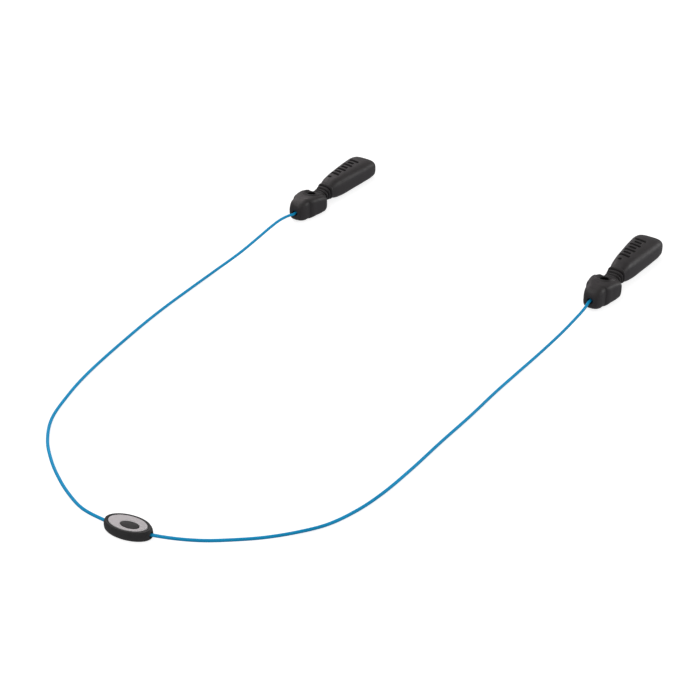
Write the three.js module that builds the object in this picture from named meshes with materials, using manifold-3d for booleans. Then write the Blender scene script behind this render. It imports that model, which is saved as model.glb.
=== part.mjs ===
// Eyewear retainer: a coated wire cable laid in a U, a soft grip at each end whose socket holds the
// tip of a spectacle arm, and an oval bead threaded on the cable. Millimetres, +Z up, resting on z = 0.
// The origin is under the centre of the grips and the bead. +Y points from the bead towards the grips.

import * as THREE from "three";
import { mergeVertices } from "three/addons/utils/BufferGeometryUtils.js";
import Module from "manifold-3d";

const wasm = await Module();
wasm.setup();

// Driving dimensions
const CABLE_DIAMETER = 0.85;
const CORE_DIAMETER = 0.5;
const GAP = 0.3;

const HEAD_LENGTH = 12.9;
const NECK_LENGTH = 5.5;
const SLEEVE_LENGTH = 23.1;
const NECK_RIBS = 4;
const RIB_HEIGHT = 0.25;
const CABLE_HEIGHT_IN_HEAD = 3.1;
const JACKET_DEPTH = 2.6;

const FERRULE_DIAMETER = 2.0;
const FERRULE_LENGTH = 4.0;
const FERRULE_START = 3.2;

const POCKET_DIAMETER = 2.6;
const POCKET_FLOOR = 3.6;
const POCKET_CENTRE = [9.7, 0.3];

const SOCKET_WIDTH = 5.6;
const SOCKET_HEIGHT = 2.6;
const SOCKET_DEPTH = 19;
const SOCKET_CENTRE_HEIGHT = 3.1;

const BEAD_LENGTH = 12.9;
const BEAD_WIDTH = 6.8;
const BEAD_HEIGHT = 2.75;
const BEAD_BORE_DIAMETER = 1.6;
const BEAD_BORE_HEIGHT = 1.2;
const BEAD_EDGE_RADIUS = 0.4;
const INLAY_LENGTH = 10.4;
const INLAY_WIDTH = 5.3;
const INLAY_THICKNESS = 0.3;
const BADGE_LENGTH = 5;
const BADGE_WIDTH = 2.5;
const BADGE_OFFSET = [0.8, -0.5];
const FIT_CLEARANCE = 0.05;

// Where the cable bends in one even arc, which the bead follows as it slides
const ARC_CENTRE = [-50.7, -54.05];
const ARC_RADIUS = 45;
const BEAD_RADIUS = ARC_RADIUS - BEAD_LENGTH ** 2 / (16 * ARC_RADIUS);
const BEAD_ANGLE = -115.7;
// The loose bead sits a little askew on the cable
const BEAD_SKEW = 1;

// Where each grip starts, at the front tip of its head, and the way it points
const GRIPS = [
  { side: "left", start: [-35.5, 62.15], heading: 57.1 },
  { side: "right", start: [50.3, 7.6], heading: 56.9 },
];

// The cable's route from the left head to the right head, x, y and height of its centreline
const ROUTE = [
  [-35.9, 61.55, 3.1],
  [-37.2, 60.3, 3.3],
  [-39.6, 57.7, 3.3],
  [-42.4, 53.5, 3.05],
  [-46.1, 47.4, 2.5],
  [-51.4, 38.8, 1.8],
  [-57.9, 29.9, 0.95],
  [-64.6, 19.9, 0.5],
  [-71.3, 8.8, 0.47],
  [-77.5, -2.6, 0.47],
  [-88.7, -26.0, 0.47],
  [-92.7, -37.3, 0.47],
  [-95.2, -48.0, 0.45],
  [-94.7, -58.0, 0.6],
  [-92.4, -66.7, 0.8],
  [-89.9, -73.2, 1.0],
  [-86.5, -80.1, 1.15],
  [-82.0, -86.7, 1.2],
  [-76.8, -90.85, 1.2],
  [-71.1, -94.25, 1.2],
  [-65.0, -96.75, 1.2],
  [-58.5, -98.35, 1.2],
  [-51.9, -99.05, 1.2],
  [-45.2, -98.75, 1.2],
  [-38.3, -97.8, 1.1],
  [-30.7, -95.4, 0.75],
  [-23.3, -92.0, 0.5],
  [-16.2, -86.4, 0.47],
  [-10.1, -79.7, 0.47],
  [-2.9, -69.9, 0.47],
  [4.9, -58.3, 0.47],
  [12.9, -46.8, 0.47],
  [20.6, -35.1, 0.47],
  [27.5, -25.3, 0.55],
  [33.5, -17.3, 0.95],
  [40.1, -8.3, 1.6],
  [44.2, -2.6, 2.3],
  [48.45, 3.95, 2.95],
  [49.9, 7.0, 3.1],
];
const ROUTE_STEPS = 84;
const CABLE_SIDES = 8;

const rubber = new THREE.MeshStandardMaterial({ color: 0x3a3637, roughness: 0.62, metalness: 0 });
const jacketPlastic = new THREE.MeshStandardMaterial({ color: 0x1f8fc4, roughness: 0.35, metalness: 0 });
const steel = new THREE.MeshStandardMaterial({ color: 0xb9bcc0, roughness: 0.35, metalness: 1 });
const beadPlastic = new THREE.MeshStandardMaterial({ color: 0x2e2d2e, roughness: 0.5, metalness: 0 });
const satinMetal = new THREE.MeshStandardMaterial({ color: 0xb6b4b6, roughness: 0.42, metalness: 0.6 });

const retainer = new THREE.Group();

// Booleans on closed meshes
function toSolid(geometry) {
  const bare = geometry.clone();
  bare.deleteAttribute("normal");
  bare.deleteAttribute("uv");
  const merged = mergeVertices(bare, 1e-4);
  return new wasm.Manifold(
    new wasm.Mesh({
      numProp: 3,
      vertProperties: new Float32Array(merged.attributes.position.array),
      triVerts: new Uint32Array(merged.index.array),
    }),
  );
}

function toGeometry(solid) {
  const mesh = solid.getMesh();
  const geometry = new THREE.BufferGeometry();
  geometry.setAttribute("position", new THREE.BufferAttribute(new Float32Array(mesh.vertProperties), 3));
  geometry.setIndex(new THREE.BufferAttribute(new Uint32Array(mesh.triVerts), 1));
  geometry.computeVertexNormals();
  return geometry;
}

function cut(geometry, ...tools) {
  return toGeometry(tools.reduce((solid, tool) => solid.subtract(toSolid(tool)), toSolid(geometry)));
}

function addPiece(parent, name, geometry, material) {
  const mesh = new THREE.Mesh(geometry, material);
  mesh.name = name;
  parent.add(mesh);
}

// A cylinder along X from one end to the other
function roundBar(diameter, start, length, height, sides = 16) {
  const bar = new THREE.CylinderGeometry(diameter / 2, diameter / 2, length, sides);
  bar.rotateZ(Math.PI / 2);
  bar.translate(start + length / 2, 0, height);
  return bar;
}

// A closed body along X. Each station is [x, half width, bottom, top]; between the stations the outline
// is a smooth curve, and each section is a rounded rectangle of the given squareness (2 is an ellipse).
function loft(stations, steps, squareness, sides = 24) {
  const spine = new THREE.CatmullRomCurve3(
    stations.map(([x, w]) => new THREE.Vector3(x, w, 0)), false, "centripetal");
  const heights = new THREE.CatmullRomCurve3(
    stations.map(([x, , bottom, top]) => new THREE.Vector3(x, bottom, top)), false, "centripetal");
  const positions = [];
  const faces = [];
  for (let i = 0; i <= steps; i++) {
    const { x, y: halfWidth } = spine.getPoint(i / steps);
    const { y: bottom, z: top } = heights.getPoint(i / steps);
    for (let j = 0; j < sides; j++) {
      const angle = (2 * Math.PI * (j + 0.5)) / sides;
      const across = Math.sign(Math.cos(angle)) * Math.abs(Math.cos(angle)) ** (2 / squareness);
      const up = Math.sign(Math.sin(angle)) * Math.abs(Math.sin(angle)) ** (2 / squareness);
      positions.push(x, halfWidth * across, Math.max(0, bottom + ((top - bottom) * (1 + up)) / 2));
    }
  }
  for (let i = 0; i < steps; i++) {
    for (let j = 0; j < sides; j++) {
      const a = i * sides + j;
      const b = i * sides + ((j + 1) % sides);
      faces.push(a, b, a + sides, b, b + sides, a + sides);
    }
  }
  const last = steps * sides;
  for (let j = 1; j < sides - 1; j++) {
    faces.push(0, j + 1, j);
    faces.push(last, last + j, last + j + 1);
  }
  const geometry = new THREE.BufferGeometry();
  geometry.setAttribute("position", new THREE.Float32BufferAttribute(positions, 3));
  geometry.setIndex(faces);
  geometry.computeVertexNormals();
  return geometry;
}

// Head: a rounded bulb, with a hole for the cable in front, a chamber for the crimped ferrule,
// and a round pocket in the top
function headGeometry() {
  const bulb = loft(
    [
      [0, 1.6, 1.3, 4.8],
      [0.6, 2.2, 0.7, 5.6],
      [1.8, 2.8, 0.2, 6.3],
      [4.6, 3.7, 0, 6.7],
      [8, 4.4, 0, 6.5],
      [10.6, 4.6, 0, 6],
      [12, 4.1, 0.5, 5.5],
      [HEAD_LENGTH, 2.9, 1.1, 5],
    ],
    16,
    3.6,
  );
  const holeStart = -1;
  const chamberStart = JACKET_DEPTH;
  const chamberEnd = FERRULE_START + FERRULE_LENGTH + 2 * GAP;
  const cableHole = roundBar(
    CABLE_DIAMETER + 2 * GAP, holeStart, chamberStart + GAP - holeStart, CABLE_HEIGHT_IN_HEAD);
  const ferruleChamber = roundBar(
    FERRULE_DIAMETER + 2 * GAP, chamberStart, chamberEnd - chamberStart, CABLE_HEIGHT_IN_HEAD);
  const pocketDepth = 6;
  const pocket = new THREE.CylinderGeometry(POCKET_DIAMETER / 2, POCKET_DIAMETER / 2, pocketDepth, 20);
  pocket.rotateX(Math.PI / 2);
  pocket.translate(...POCKET_CENTRE, POCKET_FLOOR + pocketDepth / 2);
  return cut(bulb, cableHole, ferruleChamber, pocket);
}

// Neck: a slim bar with ribs round it, so that it bends
function neckGeometry() {
  const start = HEAD_LENGTH + GAP;
  const end = start + NECK_LENGTH - 2 * GAP;
  const stations = [];
  for (let i = 0; i <= 2 * NECK_RIBS; i++) {
    const grow = i / (2 * NECK_RIBS);
    const swell = i % 2 === 1 ? RIB_HEIGHT : 0;
    const x = start + (end - start) * grow;
    stations.push([x, 2.1 + 0.3 * grow + swell, 1.9 - 0.7 * grow - swell, 4.8 + grow ** 2 + swell]);
  }
  return loft(stations, 4 * NECK_RIBS, 2.6);
}

// Sleeve: widens from the neck to the open end, where a flat socket takes the tip of a spectacle arm
function sleeveGeometry() {
  const start = HEAD_LENGTH + NECK_LENGTH;
  const end = start + SLEEVE_LENGTH;
  const outer = loft(
    [
      [start, 2.5, 1.2, 6.2],
      [start + 1, 2.7, 0.8, 6.6],
      [start + 4.1, 3.3, 0.1, 6.8],
      [start + 10, 3.9, 0, 6.8],
      [start + 16.4, 4.4, 0, 6.6],
      [end - 2.4, 4.4, 0, 6.3],
      [end - 0.6, 4.2, 0.2, 5.8],
      [end, 3.8, 0.5, 5.4],
    ],
    16,
    3.6,
  );
  const socket = new THREE.BoxGeometry(2 * SOCKET_DEPTH, SOCKET_WIDTH, SOCKET_HEIGHT);
  socket.translate(end, 0, SOCKET_CENTRE_HEIGHT);
  return cut(outer, socket);
}

function ferruleGeometry() {
  const barrel = roundBar(FERRULE_DIAMETER, FERRULE_START, FERRULE_LENGTH, CABLE_HEIGHT_IN_HEAD);
  const bore = roundBar(
    CORE_DIAMETER + 2 * FIT_CLEARANCE, FERRULE_START - 1, FERRULE_LENGTH + 2, CABLE_HEIGHT_IN_HEAD, 12);
  return cut(barrel, bore);
}

function addGrip({ side, start, heading }) {
  const grip = new THREE.Group();
  grip.position.set(start[0], start[1], 0);
  grip.rotation.z = THREE.MathUtils.degToRad(heading);
  retainer.add(grip);
  addPiece(grip, `${side}_head`, headGeometry(), rubber);
  addPiece(grip, `${side}_neck`, neckGeometry(), rubber);
  addPiece(grip, `${side}_sleeve`, sleeveGeometry(), rubber);
  addPiece(grip, `${side}_ferrule`, ferruleGeometry(), steel);
  const coreStart = JACKET_DEPTH + 0.1;
  const coreLength = FERRULE_START + FERRULE_LENGTH - coreStart;
  const core = roundBar(CORE_DIAMETER, coreStart, coreLength, CABLE_HEIGHT_IN_HEAD, 12);
  addPiece(grip, `${side}_cable_core`, core, steel);
}

// The coated cable: one tube from head to head, its ends straight inside the heads
function jacketGeometry() {
  const ends = GRIPS.map(({ start, heading }) => {
    const turn = THREE.MathUtils.degToRad(heading);
    const x = start[0] + JACKET_DEPTH * Math.cos(turn);
    const y = start[1] + JACKET_DEPTH * Math.sin(turn);
    return new THREE.Vector3(x, y, CABLE_HEIGHT_IN_HEAD);
  });
  const points = [ends[0], ...ROUTE.map((p) => new THREE.Vector3(...p)), ends[1]];
  const route = new THREE.CatmullRomCurve3(points, false, "centripetal");
  route.arcLengthDivisions = 2000;
  const section = new THREE.Shape();
  for (let j = 0; j < CABLE_SIDES; j++) {
    const angle = (2 * Math.PI * j) / CABLE_SIDES;
    const x = (CABLE_DIAMETER / 2) * Math.cos(angle);
    const y = (CABLE_DIAMETER / 2) * Math.sin(angle);
    if (j === 0) section.moveTo(x, y);
    else section.lineTo(x, y);
  }
  section.closePath();
  return new THREE.ExtrudeGeometry(section, {
    steps: ROUTE_STEPS,
    bevelEnabled: false,
    extrudePath: route,
  });
}

function ellipseShape(length, width) {
  const shape = new THREE.Shape();
  shape.absellipse(0, 0, length / 2, width / 2, 0, 2 * Math.PI);
  return shape;
}

function plate(length, width, bottom, height) {
  const slab = new THREE.ExtrudeGeometry(ellipseShape(length, width), {
    depth: height,
    bevelEnabled: false,
    curveSegments: 20,
  });
  slab.translate(0, 0, bottom);
  return slab;
}

// Bead: an oval body with rounded edges, bored along its length, with a recess for the inlay
function beadGeometry() {
  const flat = ellipseShape(BEAD_LENGTH - 2 * BEAD_EDGE_RADIUS, BEAD_WIDTH - 2 * BEAD_EDGE_RADIUS);
  const body = new THREE.ExtrudeGeometry(flat, {
    depth: BEAD_HEIGHT - 2 * BEAD_EDGE_RADIUS,
    bevelThickness: BEAD_EDGE_RADIUS,
    bevelSize: BEAD_EDGE_RADIUS,
    bevelSegments: 4,
    curveSegments: 20,
  });
  body.translate(0, 0, BEAD_EDGE_RADIUS);
  const bore = roundBar(BEAD_BORE_DIAMETER, -BEAD_LENGTH, 2 * BEAD_LENGTH, BEAD_BORE_HEIGHT, 20);
  const recess = plate(
    INLAY_LENGTH + 2 * FIT_CLEARANCE, INLAY_WIDTH + 2 * FIT_CLEARANCE, BEAD_HEIGHT - INLAY_THICKNESS, 1);
  return cut(body, bore, recess);
}

function addBead() {
  const angle = THREE.MathUtils.degToRad(BEAD_ANGLE);
  const bead = new THREE.Group();
  bead.position.set(
    ARC_CENTRE[0] + BEAD_RADIUS * Math.cos(angle), ARC_CENTRE[1] + BEAD_RADIUS * Math.sin(angle), 0);
  bead.rotation.z = angle + Math.PI / 2 + THREE.MathUtils.degToRad(BEAD_SKEW);
  retainer.add(bead);
  addPiece(bead, "bead_body", beadGeometry(), beadPlastic);
  const inlayBottom = BEAD_HEIGHT - INLAY_THICKNESS + FIT_CLEARANCE;
  const inlay = plate(INLAY_LENGTH, INLAY_WIDTH, inlayBottom, INLAY_THICKNESS);
  const window = plate(
    BADGE_LENGTH + 2 * FIT_CLEARANCE, BADGE_WIDTH + 2 * FIT_CLEARANCE, inlayBottom - 1, 3);
  const badge = plate(BADGE_LENGTH, BADGE_WIDTH, inlayBottom, INLAY_THICKNESS);
  [window, badge].forEach((piece) => piece.translate(...BADGE_OFFSET, 0));
  addPiece(bead, "bead_inlay", cut(inlay, window), satinMetal);
  addPiece(bead, "bead_badge", badge, beadPlastic);
}

GRIPS.forEach(addGrip);
addPiece(retainer, "cable_jacket", jacketGeometry(), jacketPlastic);
addBead();

export default retainer;
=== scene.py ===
"""Eyewear retainer: a coated wire cable in a U, a rubber grip at each end and an oval bead on the cable.

Lengths named *_MM are millimetres in a piece's own axes; place() turns them into metres in the row frame.
"""

import math

import bmesh
import bpy
import numpy as np
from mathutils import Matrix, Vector


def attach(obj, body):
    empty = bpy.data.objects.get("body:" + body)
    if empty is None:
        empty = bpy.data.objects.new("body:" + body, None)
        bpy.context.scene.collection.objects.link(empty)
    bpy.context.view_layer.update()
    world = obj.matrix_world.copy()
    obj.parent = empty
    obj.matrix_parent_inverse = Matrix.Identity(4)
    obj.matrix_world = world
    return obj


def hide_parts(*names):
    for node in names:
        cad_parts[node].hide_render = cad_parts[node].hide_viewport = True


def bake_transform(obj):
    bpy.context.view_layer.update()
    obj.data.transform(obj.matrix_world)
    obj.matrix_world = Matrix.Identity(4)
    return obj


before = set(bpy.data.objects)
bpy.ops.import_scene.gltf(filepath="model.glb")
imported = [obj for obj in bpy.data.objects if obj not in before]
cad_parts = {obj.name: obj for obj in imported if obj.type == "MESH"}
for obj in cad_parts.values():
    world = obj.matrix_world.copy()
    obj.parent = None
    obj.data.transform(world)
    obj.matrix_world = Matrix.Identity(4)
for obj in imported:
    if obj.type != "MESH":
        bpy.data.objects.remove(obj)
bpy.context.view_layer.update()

MM = 0.001

# Grips: where each starts, at the front tip of its head, and the way it points, in degrees from +X
GRIPS = {
    "left": ((-35.5, 62.15), 57.1),
    "right": ((50.3, 7.6), 56.9),
}
HEAD_MM = 12.9
NECK_MM = 5.5
SLEEVE_MM = 23.1
GRIP_MM = HEAD_MM + NECK_MM + SLEEVE_MM
NECK_MIDDLE_MM = HEAD_MM + NECK_MM / 2
CABLE_HEIGHT_MM = 3.1
AROUND = 144
SHARP_ANGLE = math.radians(50)

# Cable
CABLE_DIAMETER_MM = 0.85
CABLE_SIDES = 16
CABLE_STEP_MM = 0.5
KNOT_STEPS = 24
STRANDS = 6
STRAND_TURNS_PER_MM = 1.1
JACKET_DEPTH_MM = 2.6
ROUTE_MM = [
    (-35.9, 61.55, 3.1),
    (-37.2, 60.3, 3.3),
    (-39.6, 57.7, 3.3),
    (-42.4, 53.5, 3.05),
    (-46.1, 47.4, 2.5),
    (-51.4, 38.8, 1.8),
    (-57.9, 29.9, 0.95),
    (-64.6, 19.9, 0.5),
    (-71.3, 8.8, 0.47),
    (-77.5, -2.6, 0.47),
    (-88.7, -26.0, 0.47),
    (-92.7, -37.3, 0.47),
    (-95.2, -48.0, 0.45),
    (-94.7, -58.0, 0.6),
    (-92.4, -66.7, 0.8),
    (-89.9, -73.2, 1.0),
    (-86.5, -80.1, 1.15),
    (-82.0, -86.7, 1.2),
    (-76.8, -90.85, 1.2),
    (-71.1, -94.25, 1.2),
    (-65.0, -96.75, 1.2),
    (-58.5, -98.35, 1.2),
    (-51.9, -99.05, 1.2),
    (-45.2, -98.75, 1.2),
    (-38.3, -97.8, 1.1),
    (-30.7, -95.4, 0.75),
    (-23.3, -92.0, 0.5),
    (-16.2, -86.4, 0.47),
    (-10.1, -79.7, 0.47),
    (-2.9, -69.9, 0.47),
    (4.9, -58.3, 0.47),
    (12.9, -46.8, 0.47),
    (20.6, -35.1, 0.47),
    (27.5, -25.3, 0.55),
    (33.5, -17.3, 0.95),
    (40.1, -8.3, 1.6),
    (44.2, -2.6, 2.3),
    (48.45, 3.95, 2.95),
    (49.9, 7.0, 3.1),
]

# Bead
ARC_CENTRE_MM = (-50.7, -54.05)
ARC_RADIUS_MM = 45.0
BEAD_ANGLE = -115.7
BEAD_SKEW = 1.0
BEAD_MM = (12.9, 6.8, 2.75)
BEAD_RADIUS_MM = ARC_RADIUS_MM - BEAD_MM[0] ** 2 / (16 * ARC_RADIUS_MM)
BORE_MM = 1.6
BORE_HEIGHT_MM = 1.2
INLAY_MM = (10.4, 5.3)
BADGE_MM = (5.0, 2.5)
BADGE_OFFSET_MM = (0.8, -0.5)
INLAY_DEPTH_MM = 0.3
FIT_MM = 0.05
# How far the body's outline lies inside its full length and width, and the height, from the bottom up
BEAD_PROFILE_MM = [
    (0.9, 0.8, 0),
    (0.55, 0.5, 0.03),
    (0.25, 0.22, 0.18),
    (0.07, 0.06, 0.45),
    (0, 0, 0.9),
    (0, 0, 1.4),
    (0.04, 0.03, 1.9),
    (0.14, 0.1, 2.25),
    (0.28, 0.2, 2.42),
    (0.42, 0.31, BEAD_MM[2]),
]
# Flare of the bore: distance beyond the bead's tip, and how much the radius grows
BORE_MOUTH_MM = [(0.4, 0.35), (0, 0.12), (-0.3, 0.03), (-0.7, 0)]

# Camera, in metres, looking along +Y and down by the tilt in degrees
CAMERA_AT = (-0.0181, -0.4066, 0.2456)
CAMERA_TILT = 32
CAMERA_LENS = 86.4
CAMERA_SENSOR = 36

# Soft lights: name, place, aim, size, power and colour
LIGHTS = [
    ("key", (-0.4, -0.45, 0.6), (0, -0.02, 0), (0.6, 0.6), 1, (1, 1, 1)),
    ("above", (-0.35, 0.15, 0.85), (0, 0, 0), (0.5, 0.5), 1.5, (1, 1, 1)),
    ("back", (-0.3, 0.8, 0.5), (0, 0.02, 0), (0.5, 0.35), 1.5, (1, 0.91, 0.93)),
    ("right", (0.9, 0.2, 0.22), (0, 0.02, 0), (0.8, 0.5), 2.6, (1, 1, 1)),
]
FLOOR_HALF = 6.0


# ---------------------------------------------------------------- camera, light and floor


def make_camera():
    camera = bpy.data.objects.new("camera", bpy.data.cameras.new("camera"))
    bpy.context.scene.collection.objects.link(camera)
    camera.location = CAMERA_AT
    camera.rotation_euler = (math.radians(90 - CAMERA_TILT), 0, 0)
    camera.data.sensor_width = CAMERA_SENSOR
    camera.data.lens = CAMERA_LENS
    camera.data.clip_start = 0.01
    camera.data.clip_end = 20
    bpy.context.scene.camera = camera


def make_area_light(name, location, target, size, power, colour):
    lamp = bpy.data.lights.new(name, "AREA")
    lamp.shape = "RECTANGLE"
    lamp.size, lamp.size_y = size
    lamp.energy = power
    lamp.color = colour
    light = bpy.data.objects.new(name, lamp)
    bpy.context.scene.collection.objects.link(light)
    light.location = location
    light.rotation_euler = (Vector(target) - Vector(location)).to_track_quat("-Z", "Y").to_euler()


def make_stage():
    scene = bpy.context.scene
    scene.view_settings.view_transform = "Standard"
    scene.view_settings.look = "None"
    scene.world = soft_world()

    mesh = bpy.data.meshes.new("floor")
    corners = [(x * FLOOR_HALF, y * FLOOR_HALF, 0) for x, y in ((-1, -1), (1, -1), (1, 1), (-1, 1))]
    mesh.from_pydata(corners, [], [(0, 1, 2, 3)])
    floor = bpy.data.objects.new("floor", mesh)
    scene.collection.objects.link(floor)
    material = bpy.data.materials.new("floor_white")
    material.use_nodes = True
    shader = material.node_tree.nodes["Principled BSDF"]
    shader.inputs["Base Color"].default_value = (0.5, 0.5, 0.5, 1)
    shader.inputs["Roughness"].default_value = 0.9
    shader.inputs["Specular IOR Level"].default_value = 0.0
    shader.inputs["Emission Color"].default_value = (1, 1, 1, 1)
    shader.inputs["Emission Strength"].default_value = 0.8
    mesh.materials.append(material)
    floor.visible_diffuse = False
    floor.visible_glossy = False

    for light in LIGHTS:
        make_area_light(*light)


def soft_world():
    """White all round, a little warmer above."""
    world = bpy.data.worlds.new("studio")
    world.use_nodes = True
    tree = world.node_tree
    background = tree.nodes["Background"]
    background.inputs["Strength"].default_value = 0.4
    coordinates = tree.nodes.new("ShaderNodeTexCoord")
    split = tree.nodes.new("ShaderNodeSeparateXYZ")
    ramp = tree.nodes.new("ShaderNodeValToRGB")
    ramp.color_ramp.elements[0].position = 0.0
    ramp.color_ramp.elements[0].color = (1, 1, 1.04, 1)
    ramp.color_ramp.elements[1].position = 0.25
    ramp.color_ramp.elements[1].color = (1, 0.98, 0.98, 1)
    tree.links.new(coordinates.outputs["Generated"], split.inputs["Vector"])
    tree.links.new(split.outputs["Z"], ramp.inputs["Fac"])
    tree.links.new(ramp.outputs["Color"], background.inputs["Color"])
    return world


# ---------------------------------------------------------------- materials


class Nodes:
    """A short way to write a node tree."""

    def __init__(self, material):
        self.tree = material.node_tree
        self.shader = self.tree.nodes["Principled BSDF"]

    def add(self, kind, **settings):
        node = self.tree.nodes.new(kind)
        for key, value in settings.items():
            setattr(node, key, value)
        return node

    def link(self, source, target):
        self.tree.links.new(source, target)

    def position(self, scale=(1, 1, 1), turn=0.0):
        """Object coordinates in metres, turned about Z and scaled."""
        coordinates = self.add("ShaderNodeTexCoord")
        mapping = self.add("ShaderNodeMapping")
        mapping.inputs["Rotation"].default_value = (0, 0, turn)
        mapping.inputs["Scale"].default_value = scale
        self.link(coordinates.outputs["Object"], mapping.inputs["Vector"])
        return mapping.outputs["Vector"]

    def noise(self, vector, scale, detail=3.0, roughness=0.55):
        noise = self.add("ShaderNodeTexNoise")
        noise.inputs["Scale"].default_value = scale
        noise.inputs["Detail"].default_value = detail
        noise.inputs["Roughness"].default_value = roughness
        self.link(vector, noise.inputs["Vector"])
        return noise.outputs["Fac"]

    def ramp(self, factor, low, high, start=0.3, end=0.7):
        """A colour ramp between two colours."""
        ramp = self.add("ShaderNodeValToRGB")
        ramp.color_ramp.elements[0].position = start
        ramp.color_ramp.elements[0].color = (*low, 1)
        ramp.color_ramp.elements[1].position = end
        ramp.color_ramp.elements[1].color = (*high, 1)
        self.link(factor, ramp.inputs["Fac"])
        return ramp.outputs["Color"]

    def span(self, value, low, high):
        """Maps 0.3 to 0.7 onto low to high."""
        node = self.add("ShaderNodeMapRange")
        node.inputs["From Min"].default_value = 0.3
        node.inputs["From Max"].default_value = 0.7
        node.inputs["To Min"].default_value = low
        node.inputs["To Max"].default_value = high
        self.link(value, node.inputs["Value"])
        return node.outputs["Result"]

    def bump(self, height, distance, under=None):
        node = self.add("ShaderNodeBump")
        node.inputs["Strength"].default_value = 1.0
        node.inputs["Distance"].default_value = distance
        self.link(height, node.inputs["Height"])
        if under is not None:
            self.link(under, node.inputs["Normal"])
        return node.outputs["Normal"]


def new_material(name, **sockets):
    material = bpy.data.materials.new(name)
    material.use_nodes = True
    shader = material.node_tree.nodes["Principled BSDF"]
    for socket, value in sockets.items():
        shader.inputs[socket.replace("_", " ")].default_value = value
    return material, Nodes(material)


def rubber_material():
    """Satin moulded rubber: fine grain, soft cloudy gloss and a little pale dust in its colour, with
    shade painted near black into its hollows.
    """
    material, n = new_material("grip_rubber", Roughness=0.5)
    place = n.position()
    cloud = n.noise(place, 260, 4)
    grain = n.noise(place, 5200, 2)
    dusty = n.ramp(cloud, (0.017, 0.0148, 0.0155), (0.026, 0.0225, 0.0235))
    # Painted shade: where the mask is set (the marks, the neck's grooves, the dish and the pocket), the
    # colour turns near black and the gloss drops.
    painted_shade_mask = n.add("ShaderNodeAttribute", attribute_name="painted_shade_mask").outputs["Fac"]
    painted_shade_mix = n.add("ShaderNodeMix", data_type="RGBA")
    n.link(painted_shade_mask, painted_shade_mix.inputs["Factor"])
    n.link(dusty, painted_shade_mix.inputs["A"])
    painted_shade_mix.inputs["B"].default_value = (0.004, 0.0035, 0.0036, 1)
    n.link(painted_shade_mix.outputs["Result"], n.shader.inputs["Base Color"])
    shine = n.ramp(painted_shade_mask, (0.46, 0.46, 0.46), (0.1, 0.1, 0.1), 0, 1)
    n.link(shine, n.shader.inputs["Specular IOR Level"])
    n.link(n.span(cloud, 0.42, 0.56), n.shader.inputs["Roughness"])
    soft = n.bump(cloud, 0.00005)
    n.link(n.bump(grain, 0.000012, under=soft), n.shader.inputs["Normal"])
    return material


def bead_material():
    """Fine matt moulded plastic."""
    material, n = new_material("bead_plastic", Roughness=0.5)
    n.shader.inputs["Specular IOR Level"].default_value = 0.22
    place = n.position()
    grain = n.noise(place, 6500, 2)
    cloud = n.noise(place, 500, 3)
    n.link(n.ramp(cloud, (0.029, 0.0286, 0.029), (0.040, 0.0395, 0.040)), n.shader.inputs["Base Color"])
    n.link(n.span(cloud, 0.42, 0.56), n.shader.inputs["Roughness"])
    n.link(n.bump(grain, 0.000010), n.shader.inputs["Normal"])
    return material


def inlay_material():
    """Brushed light metal: fine streaks along the bead."""
    material, n = new_material("inlay_metal", Metallic=0.85, Roughness=0.4)
    turn = -math.radians(BEAD_ANGLE + 90)
    streaks = n.noise(n.position((1, 22, 1), turn), 420, 5, 0.7)
    n.link(n.ramp(streaks, (0.36, 0.356, 0.36), (0.43, 0.425, 0.428)), n.shader.inputs["Base Color"])
    n.link(n.span(streaks, 0.34, 0.5), n.shader.inputs["Roughness"])
    n.link(n.bump(streaks, 0.000008), n.shader.inputs["Normal"])
    return material


def jacket_material():
    """Clear-coated blue plastic over a stranded core, whose twist shows as a faint helical ripple."""
    material, n = new_material("jacket_plastic", Roughness=0.45)
    n.shader.inputs["Specular IOR Level"].default_value = 0.15
    along = n.add("ShaderNodeAttribute", attribute_name="along_mm")
    around = n.add("ShaderNodeAttribute", attribute_name="around")
    turns = n.add("ShaderNodeMath", operation="MULTIPLY_ADD")
    n.link(along.outputs["Fac"], turns.inputs[0])
    turns.inputs[1].default_value = STRAND_TURNS_PER_MM
    n.link(around.outputs["Fac"], turns.inputs[2])
    phase = n.add("ShaderNodeMath", operation="MULTIPLY")
    n.link(turns.outputs[0], phase.inputs[0])
    phase.inputs[1].default_value = 2 * math.pi
    wave = n.add("ShaderNodeMath", operation="SINE")
    n.link(phase.outputs[0], wave.inputs[0])
    strands = n.add("ShaderNodeMath", operation="MULTIPLY_ADD")
    n.link(wave.outputs[0], strands.inputs[0])
    strands.inputs[1].default_value = 0.5
    strands.inputs[2].default_value = 0.5
    place = n.position()
    cloud = n.noise(place, 90, 3)
    n.link(n.ramp(cloud, (0.003, 0.35, 0.69), (0.008, 0.40, 0.77)), n.shader.inputs["Base Color"])
    n.link(n.span(cloud, 0.4, 0.5), n.shader.inputs["Roughness"])
    n.link(n.bump(strands.outputs[0], 0.00002), n.shader.inputs["Normal"])
    return material


def steel_material(name, shade):
    """Drawn or crimped steel with fine scratches."""
    material, n = new_material(name, Metallic=1.0, Roughness=0.35)
    scratches = n.noise(n.position((1, 1, 8)), 900, 4)
    low = tuple(0.85 * c for c in shade)
    n.link(n.ramp(scratches, low, shade), n.shader.inputs["Base Color"])
    n.link(n.span(scratches, 0.28, 0.45), n.shader.inputs["Roughness"])
    n.link(n.bump(scratches, 0.000006), n.shader.inputs["Normal"])
    return material


# ---------------------------------------------------------------- mesh helpers


def smooth_step(value, low, high):
    t = np.clip((value - low) / (high - low), 0, 1)
    return t * t * (3 - 2 * t)


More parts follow.
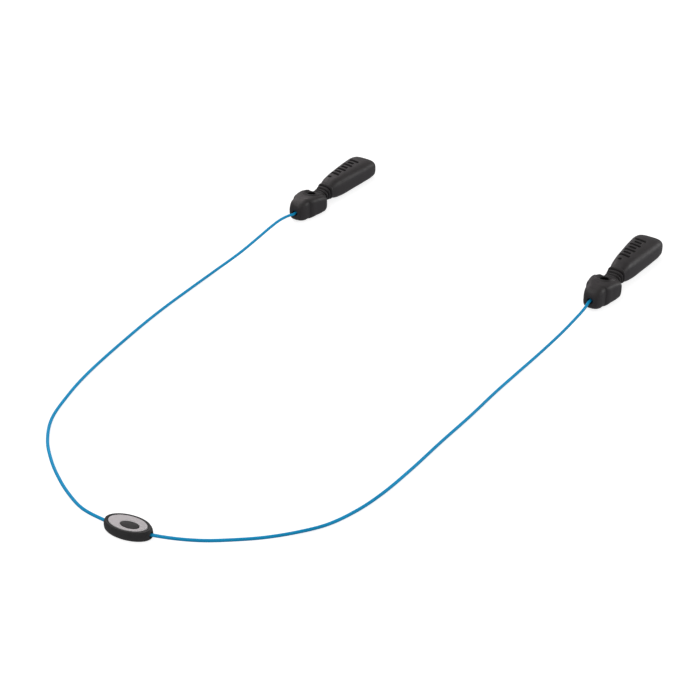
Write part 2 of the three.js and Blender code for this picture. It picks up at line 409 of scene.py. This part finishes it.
def through(stations, x):
    """Smooth curve through rows of (x, a, b, ...), read at the values x: one array for each column."""
    rows = np.array(stations, float)
    knots, values = rows[:, 0], rows[:, 1:]
    slopes = np.gradient(values, knots, axis=0)
    i = np.clip(np.searchsorted(knots, x) - 1, 0, len(knots) - 2)
    step = knots[i + 1] - knots[i]
    t = ((x - knots[i]) / step)[:, None]
    h = step[:, None]
    curve = (
        (2 * t**3 - 3 * t**2 + 1) * values[i]
        + (t**3 - 2 * t**2 + t) * h * slopes[i]
        + (-2 * t**3 + 3 * t**2) * values[i + 1]
        + (t**3 - t**2) * h * slopes[i + 1]
    )
    return curve.T


def section(half_width, bottom, top, squareness, count=AROUND):
    """Rounded section in Y and Z with evenly spaced points, starting at the middle of the underside."""
    angle = np.linspace(-math.pi / 2, 1.5 * math.pi, 721)
    c, s = np.cos(angle), np.sin(angle)
    y = half_width * np.sign(c) * np.abs(c) ** (2 / squareness)
    z = (bottom + top) / 2 + (top - bottom) / 2 * np.sign(s) * np.abs(s) ** (2 / squareness)
    run = np.concatenate([[0], np.cumsum(np.hypot(np.diff(y), np.diff(z)))])
    even = np.linspace(0, run[-1], count, endpoint=False)
    return np.stack([np.interp(even, run, y), np.interp(even, run, z)], axis=1)


def skin(name, rings, material, loop=False):
    """Mesh through rings of points in metres; the ends are closed, or joined to each other in a loop."""
    rings = np.array(rings, float)
    count, around = rings.shape[:2]
    vertices = rings.reshape(-1, 3).tolist()
    faces = []
    spans = count if loop else count - 1
    for i in range(spans):
        a, b = i * around, ((i + 1) % count) * around
        for j in range(around):
            k = (j + 1) % around
            faces.append((a + j, a + k, b + k, b + j))
    if not loop:
        for ring, turn in ((0, -1), (count - 1, 1)):
            vertices.append(tuple(rings[ring].mean(axis=0)))
            centre = len(vertices) - 1
            base = ring * around
            for j in range(around):
                pair = (base + j, base + (j + 1) % around)
                faces.append((centre, *pair[::turn]))
    mesh = bpy.data.meshes.new(name)
    mesh.from_pydata(vertices, [], faces)
    mesh.update()
    smooth_faces(mesh)
    piece = bpy.data.objects.new(name, mesh)
    bpy.context.scene.collection.objects.link(piece)
    mesh.materials.append(material)
    face_outwards(mesh)
    return piece


def smooth_faces(mesh):
    mesh.polygons.foreach_set("use_smooth", [True] * len(mesh.polygons))
    mesh.set_sharp_from_angle(angle=SHARP_ANGLE)


def face_outwards(mesh):
    work = bmesh.new()
    work.from_mesh(mesh)
    bmesh.ops.recalc_face_normals(work, faces=work.faces)
    if work.calc_volume(signed=True) < 0:
        bmesh.ops.reverse_faces(work, faces=work.faces)
    work.to_mesh(mesh)
    work.free()


def cut_away(piece, cutter):
    """Takes the cutter out of the piece and removes the cutter."""
    modifier = piece.modifiers.new("cut", "BOOLEAN")
    modifier.operation = "DIFFERENCE"
    modifier.solver = "EXACT"
    modifier.object = cutter
    depsgraph = bpy.context.evaluated_depsgraph_get()
    mesh = bpy.data.meshes.new_from_object(piece.evaluated_get(depsgraph))
    piece.modifiers.clear()
    piece.data = mesh
    smooth_faces(mesh)
    bpy.data.objects.remove(cutter)


def place(points_mm, origin_mm, heading):
    """Local millimetres to metres in the row frame."""
    points = np.array(points_mm, float)
    c, s = math.cos(math.radians(heading)), math.sin(math.radians(heading))
    x = origin_mm[0] + points[..., 0] * c - points[..., 1] * s
    y = origin_mm[1] + points[..., 0] * s + points[..., 1] * c
    return np.stack([x, y, points[..., 2]], axis=-1) * MM


def oval_rings(profile, centre=(0.0, 0.0), count=128):
    """Rings of ellipses from rows of (half length, half width, height)."""
    angle = np.linspace(0, 2 * math.pi, count, endpoint=False)
    c, s = np.cos(angle), np.sin(angle)
    return np.array([
        np.stack([centre[0] + a * c, centre[1] + b * s, np.full(count, float(z))], axis=1)
        for a, b, z in profile
    ])


def turned(profile, centre, count=48):
    """Rings round a vertical axis from (radius, height) points."""
    return oval_rings([(r, r, z) for r, z in profile], centre, count)


def spaced(*spans):
    """Distances along spans of (start, end, count); only the last span has its end."""
    rows = [np.linspace(*span, endpoint=False) for span in spans[:-1]]
    return np.concatenate([*rows, np.linspace(*spans[-1])])


# ---------------------------------------------------------------- grips

# Station rows: distance from the front tip, half width, bottom, top, squareness of the section
GRIP_STATIONS = [
    (0.0, 1.55, 1.4, 4.8, 2.4),
    (0.3, 2.03, 0.9, 5.4, 2.8),
    (0.9, 2.4, 0.5, 5.95, 3.4),
    (2.0, 2.78, 0.15, 6.4, 4.2),
    (3.8, 3.06, 0.0, 6.7, 4.4),
    (4.1, 3.12, 0.0, 6.76, 4.6),
    (4.35, 3.4, 0.0, 6.78, 4.8),
    (4.6, 3.54, 0.0, 6.78, 4.8),
    (7.0, 4.15, 0.0, 6.7, 4.6),
    (9.6, 4.6, 0.0, 6.28, 4.6),
    (11.2, 4.7, 0.15, 5.83, 4.2),
    (12.1, 4.2, 0.5, 5.45, 3.4),
    (12.8, 2.9, 1.2, 4.9, 2.8),
    (13.4, 2.3, 1.7, 4.75, 2.6),
    (15.4, 2.15, 1.7, 4.8, 2.6),
    (17.4, 2.4, 1.45, 5.55, 2.8),
    (18.5, 2.65, 1.0, 6.15, 2.9),
    (19.6, 2.92, 0.55, 6.5, 3.0),
    (22.6, 3.4, 0.05, 6.82, 3.1),
    (28.5, 4.0, 0.0, 6.83, 3.2),
    (34.8, 4.5, 0.0, 6.68, 3.3),
    (39.2, 4.55, 0.0, 6.35, 3.4),
    (40.7, 4.33, 0.15, 5.9, 3.4),
    (41.25, 4.05, 0.4, 5.55, 3.4),
    (41.5, 3.8, 0.6, 5.3, 3.4),
]
RIB_COUNT = 4
RIB_FIRST_MM = 13.85
RIB_PITCH_MM = 1.2
RIB_HEIGHT_MM = 0.45
POCKET_MM = (9.7, 0.3)
POCKET_RADIUS_MM = 1.35
POCKET_FLOOR_MM = 3.6
# Radius and height, from the middle of the floor to the top of the flare
POCKET_PROFILE_MM = [
    (0.02, POCKET_FLOOR_MM),
    (POCKET_RADIUS_MM - 0.15, POCKET_FLOOR_MM),
    (POCKET_RADIUS_MM, POCKET_FLOOR_MM + 0.15),
    (POCKET_RADIUS_MM, 5.45),
    (POCKET_RADIUS_MM + 0.05, 5.62),
    (POCKET_RADIUS_MM + 0.2, 5.82),
    (POCKET_RADIUS_MM + 0.6, 6.4),
    (0.02, 6.9),
]
# The dish round the pocket fades out on the way to the neck. Its lip and groove: radius, width, height
DISH_MM = (9.9, 0.2)
DISH_FLOOR_MM = 5.75
DISH_RADII_MM = (1.5, 2.4)
DISH_STRETCH = 1.5
LIP_MM = (2.6, 0.25, 0.24)
LIP_GROOVE_MM = (3.2, 0.3, 0.2)
DISH_END_MM = (11.6, 12.4)
# Shade painted dark into the hollows: how dark the dish's painted shade is, and where each shade fades
DISH_SHADE = 0.5
DISH_SHADE_RADII_MM = (1.8, 2.5)
DISH_SHADE_ABOVE_MM = 4
POCKET_SHADE_MARGIN_MM = 0.05
MARK_SHADE_HEIGHTS_MM = (3.8, 5.4)
NECK_SHADE_END_MM = (17.6, 18.2)
# Cable hole in the nose: distance from the front tip and radius, from the inside to its flared mouth
CABLE_HOLE_MM = [
    (2.8, 0.52),
    (2.7, 0.66),
    (1.2, 0.68),
    (0.6, 0.72),
    (0.3, 0.82),
    (0.12, 0.98),
    (0.03, 1.2),
]
SOCKET_MM = (5.6, 2.6, 19.0)
SOCKET_HEIGHT_MM = 3.1
# Distance from the open end, and how far the socket's outline grows there
SOCKET_PROFILE_MM = [
    (0, 0.3),
    (-0.08, 0.12),
    (-0.3, 0),
    (-SOCKET_MM[2] / 2, 0),
    (1 - SOCKET_MM[2], -0.1),
    (-SOCKET_MM[2], -0.6),
]
SOCKET_SQUARENESS = 6.0
# The dish and the marks are only on the upper face, between these heights and above
UPPER_FACE_MM = (3.8, 5.2)
# The two skins of a grip overlap by this much either side of the neck's middle
SKIN_OVERLAP_MM = 0.02
MARK_COUNT = 7
MARK_FIRST_MM = 24.4
MARK_PITCH_MM = 1.9
MARK_WIDTH_MM = 1.05
MARK_LENGTHS_MM = (3.6, 2.4)
MARK_MIDDLE_MM = 0.9
MARK_LEAN = 0.2
DIMPLE_MM = (21.8, 1.1, 0.55)
MARK_DEPTH_MM = 0.5
MARK_EDGE_MM = 0.14


def rib_rise(x):
    """How far the neck's ribs stand out at the distance x."""
    phase = (x - RIB_FIRST_MM) / RIB_PITCH_MM
    ribbed = (phase > -0.5) & (phase < RIB_COUNT - 0.5)
    rise = np.where(ribbed, 0.5 + 0.5 * np.cos(2 * math.pi * phase), 0)
    return RIB_HEIGHT_MM * rise**0.7


def grip_surface(distances):
    """Rings of the grip's outside, in its own millimetres."""
    half_width, bottom, top, squareness = through(GRIP_STATIONS, distances)
    rise = rib_rise(distances)
    rings = []
    for i, x in enumerate(distances):
        yz = section(half_width[i] + rise[i], bottom[i] - rise[i], top[i] + rise[i], squareness[i])
        rings.append(np.column_stack([np.full(len(yz), x), yz]))
    points = np.array(rings)
    x, y, z = points[..., 0], points[..., 1], points[..., 2]
    upper = smooth_step(z, *UPPER_FACE_MM)
    z += dish_rise(x, y, z) * upper
    z -= mark_depth(x, y) * upper
    z[:] = np.maximum(z, 0.0)
    return points


def dish_distance(x, y):
    """Distance from the middle of the dish, which is longer towards the neck."""
    along = x - DISH_MM[0]
    return np.hypot(np.where(along > 0, along / DISH_STRETCH, along), y - DISH_MM[1])


def dish_rise(x, y, z):
    """Change in height of the head's top: a flat-floored dish with a raised lip and a groove."""
    out = dish_distance(x, y)
    rise = (DISH_FLOOR_MM - z) * (1 - smooth_step(out, *DISH_RADII_MM)) * (z > DISH_FLOOR_MM)
    for (radius, width, height), sign in ((LIP_MM, 1), (LIP_GROOVE_MM, -1)):
        rise = rise + sign * height * np.exp(-(((out - radius) / width) ** 2))
    return rise * (1 - smooth_step(x, *DISH_END_MM))


def pressed(distance):
    """One inside an outline and zero outside it, from the distance beyond the outline."""
    return 1 - smooth_step(distance, -MARK_EDGE_MM, MARK_EDGE_MM)


def mark_depth(x, y):
    """Depth of the plain marks pressed into the sleeve's top: a dimple, then long and short bars."""
    dimple_x, dimple_y, radius = DIMPLE_MM
    depth = pressed(np.hypot(x - dimple_x, y - dimple_y) - radius)
    for i in range(MARK_COUNT):
        middle = MARK_FIRST_MM + i * MARK_PITCH_MM
        across = np.abs(x - middle - MARK_LEAN * (y - MARK_MIDDLE_MM)) - MARK_WIDTH_MM / 2
        along = np.abs(y - MARK_MIDDLE_MM) - MARK_LENGTHS_MM[i % 2] / 2
        depth += pressed(across) * pressed(along)
    return MARK_DEPTH_MM * depth


def round_rings(profile, height, count=AROUND):
    """Rings round an axis along X at a height, from rows of (distance, radius)."""
    angle = np.linspace(-math.pi / 2, 1.5 * math.pi, count, endpoint=False)
    c, s = np.cos(angle), np.sin(angle)
    return np.array([
        np.stack([np.full(count, float(x)), r * c, height + r * s], axis=1) for x, r in profile
    ])


def make_front(side, material):
    """Head with the front half of the neck."""
    origin, heading = GRIPS[side]
    end = NECK_MIDDLE_MM + SKIN_OVERLAP_MM
    outside = grip_surface(spaced((0.0, 0.9, 14), (0.9, 12.6, 120), (12.6, end, 46)))
    rings = np.concatenate([round_rings(CABLE_HOLE_MM, CABLE_HEIGHT_MM), outside])
    piece = skin(f"{side}_grip_front", place(rings, origin, heading), material)
    pocket = turned(POCKET_PROFILE_MM, POCKET_MM)
    cut_away(piece, skin("cutter", place(pocket, origin, heading), material))
    shade_hollows(piece, side)
    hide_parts(f"{side}_head")
    blend_ends(piece)


def make_back(side, material):
    """Rear half of the neck with the sleeve and its socket."""
    origin, heading = GRIPS[side]
    start = NECK_MIDDLE_MM - SKIN_OVERLAP_MM
    outside = grip_surface(spaced((start, 18.6, 46), (18.6, 40.4, 250), (40.4, GRIP_MM, 18)))
    width, height, _ = SOCKET_MM
    low, high = SOCKET_HEIGHT_MM - height / 2, SOCKET_HEIGHT_MM + height / 2
    mouth = []
    for inwards, grow in SOCKET_PROFILE_MM:
        yz = section(width / 2 + grow, low - grow, high + grow, SOCKET_SQUARENESS)
        mouth.append(np.column_stack([np.full(len(yz), GRIP_MM + inwards), yz]))
    rings = np.concatenate([outside, np.array(mouth)])
    piece = skin(f"{side}_grip_back", place(rings, origin, heading), material)
    shade_hollows(piece, side)
    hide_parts(f"{side}_neck", f"{side}_sleeve")
    blend_ends(piece)


def shade_hollows(piece, side):
    """Stores on the mesh how far each point lies in a pressed mark, a groove, the dish or the pocket, as
    a mask for the shade painted there.
    """
    (start_x, start_y), heading = GRIPS[side]
    flat = np.empty(len(piece.data.vertices) * 3)
    piece.data.vertices.foreach_get("co", flat)
    world = flat.reshape(-1, 3) / MM
    c, s = math.cos(math.radians(heading)), math.sin(math.radians(heading))
    x = (world[:, 0] - start_x) * c + (world[:, 1] - start_y) * s
    y = (world[:, 1] - start_y) * c - (world[:, 0] - start_x) * s
    z = world[:, 2]
    marks = mark_depth(x, y) / MARK_DEPTH_MM * smooth_step(z, *MARK_SHADE_HEIGHTS_MM)
    neck = smooth_step(x, RIB_FIRST_MM - RIB_PITCH_MM / 2, RIB_FIRST_MM)
    neck *= 1 - smooth_step(x, *NECK_SHADE_END_MM)
    grooves = neck * (1 - rib_rise(x) / RIB_HEIGHT_MM)
    pocket = np.hypot(x - POCKET_MM[0], y - POCKET_MM[1]) < POCKET_RADIUS_MM + POCKET_SHADE_MARGIN_MM
    dish = 1 - smooth_step(dish_distance(x, y), *DISH_SHADE_RADII_MM)
    dish *= DISH_SHADE * (z > DISH_SHADE_ABOVE_MM)
    painted_shade_mask = piece.data.attributes.new("painted_shade_mask", "FLOAT", "POINT")
    painted_shade_mask.data.foreach_set("value", np.clip(marks + grooves + pocket + dish, 0, 1))


def blend_ends(piece):
    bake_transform(piece)


# ---------------------------------------------------------------- cable


def cable_line():
    """The cable's centreline in millimetres: a centripetal curve that ends in the heads."""
    inside = [(JACKET_DEPTH_MM, 0, CABLE_HEIGHT_MM)]
    ends = [place(inside, *GRIPS[side])[0] / MM for side in ("left", "right")]
    knots = np.array([ends[0], *ROUTE_MM, ends[1]], float)
    knots = np.vstack([2 * knots[0] - knots[1], knots, 2 * knots[-1] - knots[-2]])
    spacing = np.sqrt(np.linalg.norm(np.diff(knots, axis=0), axis=1))
    time = np.concatenate([[0], np.cumsum(spacing)])
    line = []
    for i in range(1, len(knots) - 2):
        t0, t1, t2, t3 = time[i - 1 : i + 3]
        p0, p1, p2, p3 = knots[i - 1 : i + 3]
        for t in np.linspace(t1, t2, KNOT_STEPS, endpoint=False):
            a1 = ((t1 - t) * p0 + (t - t0) * p1) / (t1 - t0)
            a2 = ((t2 - t) * p1 + (t - t1) * p2) / (t2 - t1)
            a3 = ((t3 - t) * p2 + (t - t2) * p3) / (t3 - t2)
            b1 = ((t2 - t) * a1 + (t - t0) * a2) / (t2 - t0)
            b2 = ((t3 - t) * a2 + (t - t1) * a3) / (t3 - t1)
            line.append(((t2 - t) * b1 + (t - t1) * b2) / (t2 - t1))
    line.append(knots[-2])
    return np.array(line)


def make_cable(material):
    line = cable_line()
    run = np.concatenate([[0], np.cumsum(np.linalg.norm(np.diff(line, axis=0), axis=1))])
    steps = int(run[-1] / CABLE_STEP_MM)
    even = np.linspace(0, run[-1], steps)
    line = np.stack([np.interp(even, run, line[:, k]) for k in range(3)], axis=1)
    forward = np.gradient(line, axis=0)
    forward /= np.linalg.norm(forward, axis=1)[:, None]
    side = np.cross(forward, (0, 0, 1))
    side /= np.linalg.norm(side, axis=1)[:, None]
    up = np.cross(side, forward)
    angle = np.linspace(0, 2 * math.pi, CABLE_SIDES, endpoint=False)
    c, s = np.cos(angle)[None, :, None], np.sin(angle)[None, :, None]
    circle = c * side[:, None, :] + s * up[:, None, :]
    rings = line[:, None, :] + CABLE_DIAMETER_MM / 2 * circle
    cable = skin("cable", rings * MM, material)
    mesh = cable.data
    along = mesh.attributes.new("along_mm", "FLOAT", "POINT")
    along.data.foreach_set("value", np.append(np.repeat(even, CABLE_SIDES), [0, run[-1]]))
    turn = mesh.attributes.new("around", "FLOAT", "POINT")
    share = STRANDS * angle / (2 * math.pi)
    turn.data.foreach_set("value", np.append(np.tile(share, steps), [0, 0]))
    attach(cable, "cable")
    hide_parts("cable_jacket")


# ---------------------------------------------------------------- bead


def bead_place():
    angle = math.radians(BEAD_ANGLE)
    centre = (
        ARC_CENTRE_MM[0] + BEAD_RADIUS_MM * math.cos(angle),
        ARC_CENTRE_MM[1] + BEAD_RADIUS_MM * math.sin(angle),
    )
    return centre, BEAD_ANGLE + 90 + BEAD_SKEW


def make_shell(where, plastic):
    """The bead's body with its recess and bore."""
    long, wide, high = BEAD_MM[0] / 2, BEAD_MM[1] / 2, BEAD_MM[2]
    recess_long, recess_wide = INLAY_MM[0] / 2 + FIT_MM, INLAY_MM[1] / 2 + FIT_MM
    floor = high - INLAY_DEPTH_MM
    body = [
        (0.05, 0.03, 0),
        *((long - less_long, wide - less_wide, z) for less_long, less_wide, z in BEAD_PROFILE_MM),
        (recess_long + 0.1, recess_wide + 0.06, high),
        (recess_long, recess_wide, high - 0.06),
        (recess_long, recess_wide, floor),
        (0.05, 0.03, floor),
    ]
    shell = skin("bead_shell", place(oval_rings(body), *where), plastic)
    mouth = [(long + beyond, BORE_MM / 2 + grow) for beyond, grow in BORE_MOUTH_MM]
    profile = [(-x, r) for x, r in mouth] + mouth[::-1]
    tunnel = round_rings(profile, BORE_HEIGHT_MM, 40)
    cut_away(shell, skin("cutter", place(tunnel, *where), plastic))
    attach(shell, "bead")
    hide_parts("bead_body")


def make_plate(where, metal, bottom, top):
    """The inlay, with a window for the badge."""
    a, b = INLAY_MM[0] / 2, INLAY_MM[1] / 2
    c, d = BADGE_MM[0] / 2 + FIT_MM, BADGE_MM[1] / 2 + FIT_MM
    outer = [
        (a, b, bottom),
        (a, b, top - 0.08),
        (a - 0.03, b - 0.03, top - 0.03),
        (a - 0.1, b - 0.1, top),
        (a - 0.2, b - 0.2, top),
    ]
    inner = [
        (c + 0.2, d + 0.2, top),
        (c + 0.06, d + 0.06, top),
        (c + 0.01, d + 0.01, top - 0.02),
        (c, d, top - 0.06),
        (c, d, bottom),
    ]
    rings = np.concatenate([oval_rings(outer), oval_rings(inner, BADGE_OFFSET_MM)])
    inlay = skin("bead_plate", place(rings, *where), metal, loop=True)
    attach(inlay, "bead")
    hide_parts("bead_inlay")


def make_island(where, plastic, bottom, top):
    """The plain oval badge in the inlay's window."""
    a, b = BADGE_MM[0] / 2, BADGE_MM[1] / 2
    island = [
        (0.05, 0.02, bottom),
        (a, b, bottom),
        (a, b, top - 0.04),
        (a - 0.03, b - 0.03, top + 0.01),
        (a - 0.12, b - 0.12, top + 0.03),
        (0.05, 0.02, top + 0.05),
    ]
    badge = skin("bead_island", place(oval_rings(island, BADGE_OFFSET_MM), *where), plastic)
    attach(badge, "bead")
    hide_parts("bead_badge")


def make_bead(plastic, metal):
    where = bead_place()
    bottom, top = BEAD_MM[2] - INLAY_DEPTH_MM + 0.03, BEAD_MM[2] + 0.04
    make_shell(where, plastic)
    make_plate(where, metal, bottom, top)
    make_island(where, plastic, bottom, top)


# ---------------------------------------------------------------- the object

make_camera()
make_stage()
make_cable(jacket_material())

rubber = rubber_material()
for grip_side in GRIPS:
    make_front(grip_side, rubber)
    make_back(grip_side, rubber)
make_bead(bead_material(), inlay_material())

core_steel = steel_material("core_steel", (0.52, 0.53, 0.55))
ferrule_steel = steel_material("ferrule_steel", (0.50, 0.50, 0.50))
for grip_side in GRIPS:
    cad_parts[f"{grip_side}_cable_core"].material_slots[0].material = core_steel
    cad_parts[f"{grip_side}_ferrule"].material_slots[0].material = ferrule_steel
